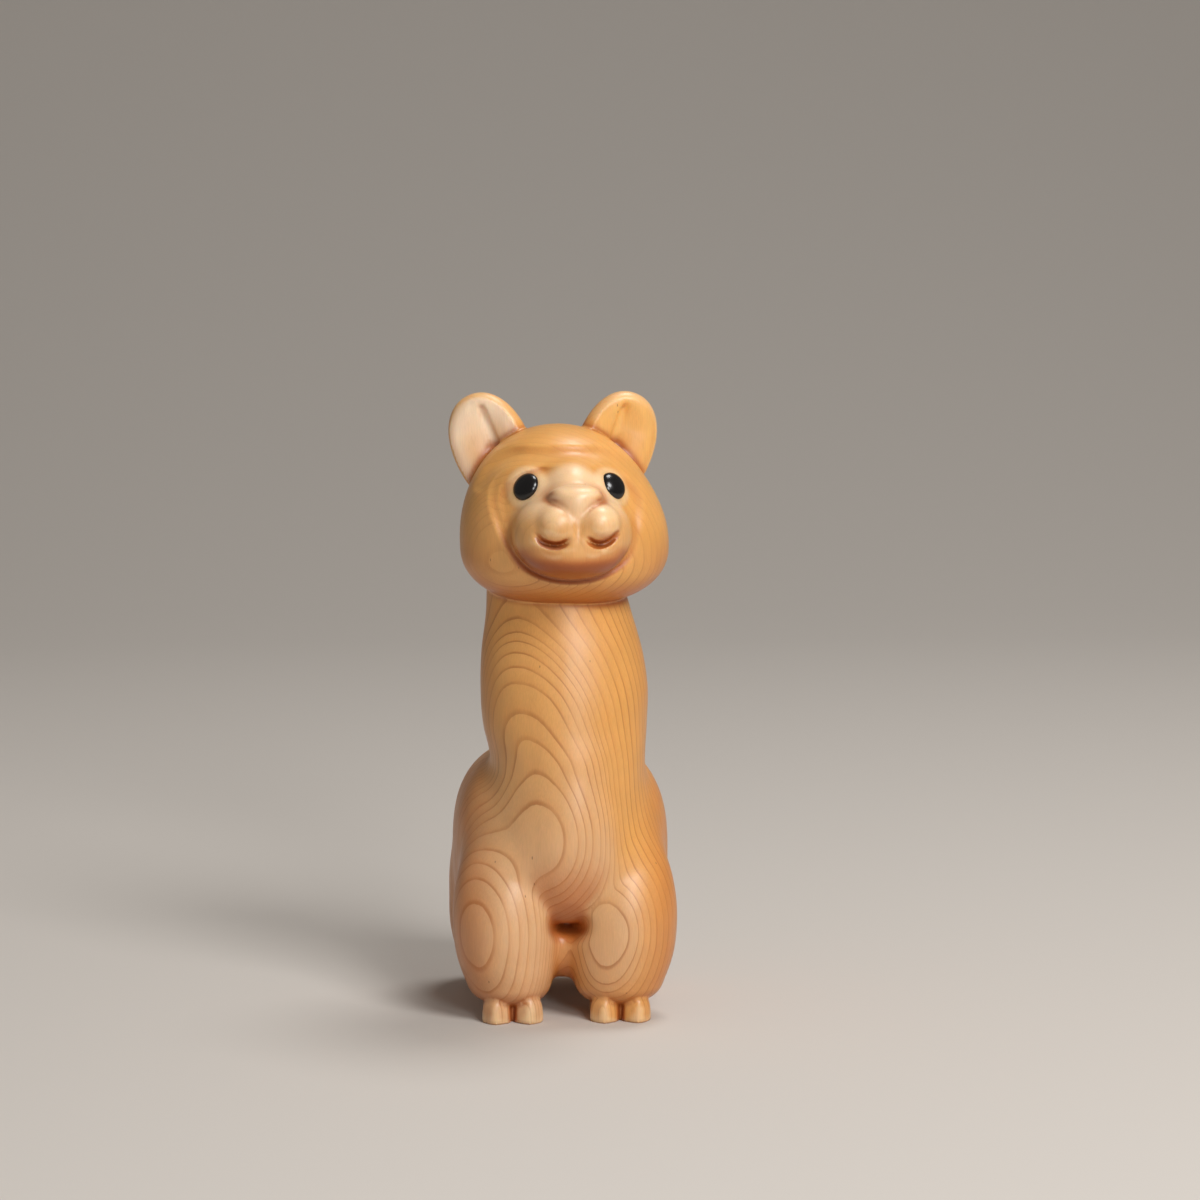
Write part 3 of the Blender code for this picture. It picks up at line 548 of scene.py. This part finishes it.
def field_on_grid(field, axes):
    """The field at every grid point, exact near the surface and coarse elsewhere."""
    rough_axes = [axis[::COARSE] for axis in axes]
    rough = np.stack(np.meshgrid(*rough_axes, indexing="ij")).reshape(3, -1).astype(np.float32)
    values = field(rough).reshape([len(axis) for axis in rough_axes])
    for i in range(3):
        values = np.repeat(values, COARSE, i)
    values = values[tuple(slice(0, len(axis)) for axis in axes)].astype(np.float32)
    largest = max(np.diff(axis).max() for axis in axes)
    near = np.argwhere(np.abs(values) < NEAR_CELLS * COARSE * largest)
    for batch in np.array_split(near, 1 + len(near) // BATCH):
        points = np.stack([axes[i][batch[:, i]] for i in range(3)]).astype(np.float32)
        values[tuple(batch.T)] = field(points)
    return values


def skin(field, axes):
    """One corner in each grid cell that the surface crosses, and a quad across each crossed grid edge."""
    values = field_on_grid(field, axes)
    inside = values < 0
    cells = [n - 1 for n in values.shape]
    corners = [(i, j, k) for i in (0, 1) for j in (0, 1) for k in (0, 1)]
    filled = sum(
        inside[i : i + cells[0], j : j + cells[1], k : k + cells[2]].astype(np.int8) for i, j, k in corners
    )
    crossed = (filled > 0) & (filled < 8)
    where = np.argwhere(crossed)
    index = np.full(crossed.shape, -1, np.int64)
    index[crossed] = np.arange(len(where))
    total, hits = np.zeros((len(where), 3)), np.zeros(len(where))
    for corner in corners:
        for axis in range(3):
            if corner[axis]:
                continue
            other = list(corner)
            other[axis] = 1
            a = values[tuple((where + corner).T)]
            b = values[tuple((where + other).T)]
            hit = (a < 0) != (b < 0)
            point = np.tile(np.array(corner, float), (len(where), 1))
            point[:, axis] = np.where(hit, a / np.where(hit, a - b, 1), 0)
            total[hit] += point[hit]
            hits += hit
    share = total / hits[:, None]
    places = np.empty((3, len(where)))
    for i, axis in enumerate(axes):
        low, high = axis[where[:, i]], axis[where[:, i] + 1]
        places[i] = low + share[:, i] * (high - low)
    quads = []
    for axis in range(3):
        near = [slice(None)] * 3
        far = [slice(None)] * 3
        near[axis], far[axis] = slice(0, -1), slice(1, None)
        at = np.argwhere(inside[tuple(near)] != inside[tuple(far)])
        back = np.eye(3, dtype=int)
        u, v = back[(axis + 1) % 3], back[(axis + 2) % 3]
        ring = np.stack([index[tuple((at - off).T)] for off in (0 * u, u, u + v, v)], 1)
        leaving = inside[tuple(at.T)]
        ring[~leaving] = ring[~leaving][:, ::-1]
        quads.append(ring)
    return places.astype(np.float32), np.concatenate(quads)


def field_and_slope(field, points, step=0.04):
    """The field and its slope, from four points round each one."""
    total, slope = 0.0, np.zeros_like(points)
    for way in ((1, 1, 1), (1, -1, -1), (-1, 1, -1), (-1, -1, 1)):
        offset = np.array(way, np.float32)[:, None]
        value = field(points + step * offset)
        total = total + value / 4
        slope += offset * value / (4 * step)
    return total, slope


def settle(field, points, rounds=2, longest=0.25, least=1e-9):
    """Moves each corner onto the surface, and gives the surface's outward directions there."""
    for _ in range(rounds):
        value, slope = field_and_slope(field, points)
        move = -value * slope / ((slope**2).sum(0) + TINY)
        points = points + move * np.minimum(1, longest / (np.sqrt((move**2).sum(0)) + least))
    return points, slope / (np.sqrt((slope**2).sum(0)) + least)


def years_of_growth(points):
    """Counts the growth lines outwards from the pith. Each line falls on a whole number."""
    heights, (pith_x, pith_y) = smooth_rows(PITH)
    pith = np.stack([np.interp(points[2], heights, place) for place in (pith_x, pith_y)])
    radius = np.hypot(*(points[:2] - pith))
    first, last = GROWTH_LINES[0], GROWTH_LINES[-1]
    years = np.interp(radius, GROWTH_LINES, np.arange(len(GROWTH_LINES)))
    return years + (np.minimum(radius - first, 0) + np.maximum(radius - last, 0)) / RING_WIDTH


def bulge(points, normals):
    """How strongly the surface bulges at each point: above 0 on a ridge, below 0 in a hollow."""
    across = np.cross(normals.T, ASKEW).T
    across = across / np.sqrt((across**2).sum(0))
    along = np.cross(normals.T, across.T).T
    ways = (across, -across, along, -along)
    return sum(figure((points + RIDGE_REACH * way).astype(np.float32)) for way in ways) / (4 * RIDGE_REACH)


def new_object(name, mesh):
    made = bpy.data.objects.new(name, mesh)
    bpy.context.scene.collection.objects.link(made)
    return made


def carve_figure():
    """The figure as one closed mesh. Its points also hold what the wood's colour and its painted shade, highlights
    and glow need.
    """
    heights = steps_between(GRID_Z[0], HEAD_FROM, CELL * CELL_HEIGHT)
    heights += steps_between(HEAD_FROM, GRID_Z[1], HEAD_CELL)
    across, deep = steps_between(*GRID_X, CELL), steps_between(*GRID_Y, CELL)
    axes = [np.array(steps) for steps in (across, deep, heights)]
    points, quads = skin(figure, axes)
    points, normals = settle(figure, points)
    points[2] = np.maximum(points[2], 0)
    # how enclosed each point is, for the painted shade in recesses
    recess = np.zeros(points.shape[1], np.float32)
    for reach in RECESS_REACHES:
        recess += np.clip(1 - figure(points + normals * reach) / reach, 0, RECESS_MOST) / len(RECESS_REACHES)
    thin = np.clip(1 + figure(points - normals * THIN) / THIN, 0, 1)
    thin = thin * ease((points[2] - HEAD_FROM) / THIN_RISE)
    # painted highlight: ridges and the rims round the eyes are made lighter, as where light catches them
    painted_highlight = ease((bulge(points, normals) - RIDGE_HIGHLIGHT[0]) / (RIDGE_HIGHLIGHT[1] - RIDGE_HIGHLIGHT[0]))
    for side in (-1, 1):
        away = np.sqrt(((points - np.array(eye_seat(side), np.float32)[:, None]) ** 2).sum(0))
        painted_highlight = np.maximum(painted_highlight, LID_HIGHLIGHT * ease((LID_HIGHLIGHT_REACH - away) / LID_HIGHLIGHT_EASE))
    mesh = bpy.data.meshes.new("carved_wood")
    mesh.vertices.add(points.shape[1])
    mesh.vertices.foreach_set("co", (points.T * MM).astype(np.float32).ravel())
    mesh.loops.add(quads.size)
    mesh.loops.foreach_set("vertex_index", quads.astype(np.int32).ravel())
    mesh.polygons.add(len(quads))
    mesh.polygons.foreach_set("loop_start", np.arange(0, quads.size, 4, dtype=np.int32))
    mesh.update(calc_edges=True)
    mesh.shade_smooth()
    held = {"recess": recess, "painted_highlight": painted_highlight, "thin": thin, "growth": years_of_growth(points)}
    for name, values in held.items():
        mesh.attributes.new(name, "FLOAT", "POINT").data.foreach_set("value", values.astype(np.float32))
    return new_object("carved_wood", mesh)


def turned_eye(name, side):
    """A polished dome with a straight rim, turned about its axis and set into its socket."""
    profile = [(0.0, EYE_ROOT), (EYE_RADIUS, EYE_ROOT)]
    for i in range(EYE_RINGS):
        angle = math.pi / 2 * i / EYE_RINGS
        profile.append((EYE_RADIUS * math.cos(angle), EYE_DOME * math.sin(angle) - EYE_SUNK))
    profile.append((0.0, EYE_DOME - EYE_SUNK))
    shape = bmesh.new()
    corners = [shape.verts.new((r, 0, z)) for r, z in profile]
    edges = [shape.edges.new(pair) for pair in zip(corners, corners[1:])]
    turn = dict(cent=(0, 0, 0), axis=(0, 0, 1), angle=2 * math.pi, steps=EYE_TURNS)
    bmesh.ops.spin(shape, geom=corners + edges, **turn)
    bmesh.ops.remove_doubles(shape, verts=shape.verts, dist=0.001)
    bmesh.ops.recalc_face_normals(shape, faces=shape.faces)
    shape.transform(Matrix.Scale(MM, 4) @ Matrix.Translation(eye_seat(side)) @ eye_pose(side).to_4x4())
    mesh = bpy.data.meshes.new(name)
    shape.to_mesh(mesh)
    shape.free()
    mesh.shade_smooth()
    mesh.set_sharp_from_angle(angle=math.radians(SHARP))
    return new_object(name, mesh)


def linear(code):
    """An sRGB hex colour as linear values with an opacity of one."""
    parts = [int(code[i : i + 2], 16) / 255 for i in (1, 3, 5)]
    return (*[c / 12.92 if c <= 0.04045 else ((c + 0.055) / 1.055) ** 2.4 for c in parts], 1.0)


def add(tree, kind, values=(), **settings):
    """Adds a node with its settings. An input gets a plain value, or a link from an output or a whole node."""
    made = tree.nodes.new("ShaderNode" + kind)
    for name, value in settings.items():
        setattr(made, name, value)
    for key, value in values.items() if isinstance(values, dict) else enumerate(values):
        if isinstance(value, bpy.types.Node):
            value = value.outputs[0]
        if isinstance(value, bpy.types.NodeSocket):
            tree.links.new(value, made.inputs[key])
        else:
            made.inputs[key].default_value = value
    return made


def new_material(name):
    made = bpy.data.materials.new(name)
    made.use_nodes = True
    made.node_tree.nodes.clear()
    return made, made.node_tree


def product(tree, *shares):
    """Shares multiplied by each other.

    One may be a row: a value, where the share starts and where it is full, and how large it is at each, if not 0
    and 1.
    """
    whole = None
    for share in shares:
        if isinstance(share, tuple):
            value, start, full, *sizes = share
            row = (value, start, full, *(sizes or (0.0, 1.0)))
            share = add(tree, "MapRange", row, interpolation_type="SMOOTHSTEP")
        whole = share if whole is None else add(tree, "Math", (whole, share), operation="MULTIPLY")
    return whole


def coloured(tree, colour, layers):
    """A colour with others laid over it, each by its share."""
    for share, over in layers:
        colour = add(tree, "Mix", {0: share, 6: colour, 7: over}, data_type="RGBA").outputs[2]
    return colour


def stretched(tree, across, along):
    """Places measured in patches of the wood: so many mm across the grain, and along it."""
    place = add(tree, "TexCoord").outputs["Object"]
    scale = (1 / (across * MM), 1 / (across * MM), 1 / (along * MM))
    return add(tree, "VectorMath", (place, scale), operation="MULTIPLY")


def patches(tree, across, along, detail=2.0):
    """Soft patches of this size, between 0 and 1, drawn out along the wood's grain."""
    inputs = {"Vector": stretched(tree, across, along), "Scale": 1.0, "Detail": detail}
    return add(tree, "TexNoise", inputs).outputs["Fac"]


def growth_lines(tree, growth, height):
    """How dark the year's wood is: it deepens slowly towards a thin line at its edge, and ends there sharply."""
    for across, along, years in SWAYS:
        growth = add(tree, "Math", (patches(tree, across, along), years, growth), operation="MULTIPLY_ADD")
    shifted = add(tree, "Math", (growth, LINE_SHIFT), operation="SUBTRACT")
    year = add(tree, "Math", (shifted,), operation="FRACT")
    broken = (patches(tree, *LINE_PATCHES), *LINE_BREAKS)
    edge = product(tree, (year, *LINE_START), (year, *LINE_END), broken, (height, *LINE_ON_HEAD))
    late = add(tree, "Math", (year, LATE_POWER), operation="POWER")
    return product(tree, late, (year, *LATE_END), (height, *LATE_ON_HEAD)), edge


def painted_shade_below(tree, y, z):
    """How much painted shade there is, and of its deepest: on what faces down, and under the muzzle."""
    facing = add(tree, "SeparateXYZ", (add(tree, "NewGeometry").outputs["Normal"],))
    down = add(tree, "Math", (facing.outputs["Z"], product(tree, (z, *DOWN_BY_HEIGHT))), operation="ADD")
    muzzle = product(tree, (y, *MUZZLE_BY_DEPTH), (z, *MUZZLE_BY_HEIGHT), (z, *MUZZLE_DOWN))
    down = add(tree, "Math", (down, muzzle), operation="ADD")
    painted_shade = product(tree, (down, *SHADE), (z, *SHADE_BY_HEIGHT))
    return painted_shade, product(tree, painted_shade, (down, *DEEP_SHADE))


def oiled_boxwood():
    """Close-grained golden wood, cut with a knife, sanded fine, oiled and rubbed.

    The eye sees thin brown growth lines on pale wood and a silky gloss broken up by the fibres. Painted into
    the colour are an orange shade in the recesses, at the sides and under the masses, painted highlights on
    ridges and round the eyes, and a painted glow where the ears are thin. The face is paler.
    """
    made, tree = new_material("hand_rubbed_oiled_boxwood")
    held = [add(tree, "Attribute", attribute_name=name) for name in ("recess", "painted_highlight", "thin", "growth")]
    recess, painted_highlight, thin, growth = (node.outputs["Fac"] for node in held)
    x, y, z = add(tree, "SeparateXYZ", (stretched(tree, 1.0, 1.0),)).outputs
    late, edge = growth_lines(tree, growth, z)
    age = add(tree, "Math", (patches(tree, *AGE_PATCHES), AGE_SWAY, growth), operation="MULTIPLY_ADD")
    outwards = add(tree, "Math", (x,), operation="ABSOLUTE")
    # painted glow of light through the thin ears: pale gold, paler still on the figure's right ear at -X
    ear_glow_colour = coloured(tree, linear("#f0b968"), [(product(tree, (x, *EAR_GLOW_SIDE)), linear("#ffe6c8"))])
    painted_shade, deepest_painted_shade = painted_shade_below(tree, y, z)
    layers = (
        (product(tree, (age, *OLD_YEARS), (z, *OLD_BY_HEIGHT)), linear("#deaf80")),
        (late, linear("#cb823c")),
        (product(tree, edge, LINE_STRENGTH), linear("#9c5626")),
        # painted shade on the flanks
        (product(tree, (outwards, *SIDE_SHADE), (z, *SIDE_SHADE_BY_HEIGHT)), linear("#c06a29")),
        (product(tree, (y, *FACE_BY_DEPTH), (z, *FACE_BY_HEIGHT), (z, *FACE_STRENGTH)), linear("#f0ca9e")),
        # painted highlight on ridges and round the eyes
        (product(tree, painted_highlight, HIGHLIGHT_STRENGTH), linear("#f6d3a4")),
        # painted glow where the wood is thin
        (product(tree, (thin, *EAR_GLOW_STRENGTH)), ear_glow_colour),
        # painted shade in the recesses
        (product(tree, (recess, *RECESS_SHADE)), linear("#b05a1c")),
        (product(tree, (recess, *DEEP_RECESS_SHADE)), linear("#7f3410")),
        # painted shade on what faces down and under the muzzle, and its darkest part
        (painted_shade, linear("#b95f16")),
        (deepest_painted_shade, linear("#8f3b06")),
    )
    colour = coloured(tree, linear("#e0a257"), layers)

    fibre = patches(tree, *FIBRES, detail=FIBRE_DETAIL)
    shade = product(tree, (fibre, *FIBRE_SHADE), (patches(tree, *CLOUDS), *CLOUD_SHADE))
    colour = add(tree, "HueSaturation", {"Value": shade, "Color": colour})
    specks = add(tree, "TexVoronoi", {"Vector": stretched(tree, *SPECKS), "Scale": 1.0})
    chosen = add(tree, "Math", (specks.outputs["Color"], SPECK_CHOICE), operation="GREATER_THAN")
    speck = product(tree, (specks.outputs["Distance"], *SPECK_EDGE), chosen)
    colour = coloured(tree, colour, [(speck, linear("#5f3418"))])

    fibre_relief = product(tree, fibre, FIBRE_HEIGHT)
    relief = add(tree, "Math", (patches(tree, *WAVES), WAVE_HEIGHT, fibre_relief), operation="MULTIPLY_ADD")
    shader = add(
        tree,
        "BsdfPrincipled",
        {
            "Base Color": colour,
            "Roughness": product(tree, (patches(tree, *GLOSS_PATCHES), *ROUGHNESS)),
            "IOR": 1.5,
            "Normal": add(tree, "Bump", {"Strength": 1.0, "Distance": MM, "Height": relief}),
            "Subsurface Weight": 0.22,
            "Subsurface Radius": (1.0, 0.42, 0.15),
            "Subsurface Scale": 2.0 * MM,
            "Coat Weight": 0.2,
            "Coat Roughness": 0.33,
        },
    )
    add(tree, "OutputMaterial", {"Surface": shader})
    return made


def polished_horn():
    """Black horn, turned and buffed on a wheel: nearly black, with a soft-edged gloss."""
    made, tree = new_material("buffed_black_horn")
    shader = add(tree, "BsdfPrincipled", {"Base Color": linear("#0b0808"), "Roughness": 0.21, "IOR": 1.54})
    add(tree, "OutputMaterial", {"Surface": shader})
    return made


def light_studio():
    """A pale sheet of paper that curves up behind the figure, a key light, one from above and a weak front one."""
    profile = [(PAPER_FRONT, 0.0)]
    for i in range(PAPER_STEPS + 1):
        bend = math.pi / 2 * i / PAPER_STEPS
        profile.append((PAPER_BACK + PAPER_BEND * math.sin(bend), PAPER_BEND * (1 - math.cos(bend))))
    profile.append((PAPER_BACK + PAPER_BEND, PAPER_TOP))
    shape = bmesh.new()
    rows = [[shape.verts.new((x, y, z)) for y, z in profile] for x in (-PAPER_HALF_WIDTH, PAPER_HALF_WIDTH)]
    for i in range(len(profile) - 1):
        shape.faces.new((rows[0][i], rows[1][i], rows[1][i + 1], rows[0][i + 1]))
    mesh = bpy.data.meshes.new("paper")
    shape.to_mesh(mesh)
    shape.free()
    mesh.shade_smooth()
    floor = new_object("paper", mesh)
    made, tree = new_material("pale_paper")
    shader = add(tree, "BsdfPrincipled", {"Base Color": linear("#cdc6be"), "Roughness": 0.9})
    add(tree, "OutputMaterial", {"Surface": shader})
    floor.data.materials.append(made)
    world = bpy.data.worlds.new("studio")
    world.use_nodes = True
    sky = world.node_tree.nodes["Background"].inputs
    sky["Color"].default_value = linear("#d8d4d0")
    sky["Strength"].default_value = SKY_STRENGTH
    bpy.context.scene.world = world
    for name, place, size, power in LAMPS:
        lamp = bpy.data.lights.new(name, "AREA")
        lamp.shape = "DISK"
        lamp.size = size
        lamp.energy = power
        made = new_object(name, lamp)
        made.location = place
        made.rotation_euler = (Vector(LAMPS_AIM) - Vector(place)).to_track_quat("-Z", "Y").to_euler()


def place_camera():
    """The photograph's view: half a metre away, a little above and from the figure's right."""
    yaw, pitch = math.radians(CAMERA_YAW), math.radians(CAMERA_PITCH)
    back = Vector((math.sin(yaw) * math.cos(pitch), -math.cos(yaw) * math.cos(pitch), math.sin(pitch)))
    right = Vector((math.cos(yaw), math.sin(yaw), 0))
    camera = new_object("camera", bpy.data.cameras.new("camera"))
    camera.location = Vector((0, 0, CAMERA_AIM[1])) * MM + right * CAMERA_AIM[0] * MM + back * CAMERA_DISTANCE
    camera.rotation_euler = (-back).to_track_quat("-Z", "Y").to_euler()
    camera.data.sensor_width = SENSOR
    camera.data.lens = FOCAL_PIXELS / PHOTO_PIXELS * SENSOR
    camera.data.clip_start = 0.01
    bpy.context.scene.camera = camera


def main():
    place_camera()
    light_studio()
    wood = carve_figure()
    wood.data.materials.append(oiled_boxwood())
    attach(wood, "root")
    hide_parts("carved_body")
    horn = polished_horn()
    for node, side in (("left_eye", 1), ("right_eye", -1)):
        eye = turned_eye("horn_" + node, side)
        eye.data.materials.append(horn)
        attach(eye, "root")
        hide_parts(node)
    bpy.context.scene.view_settings.view_transform = "Standard"


main()
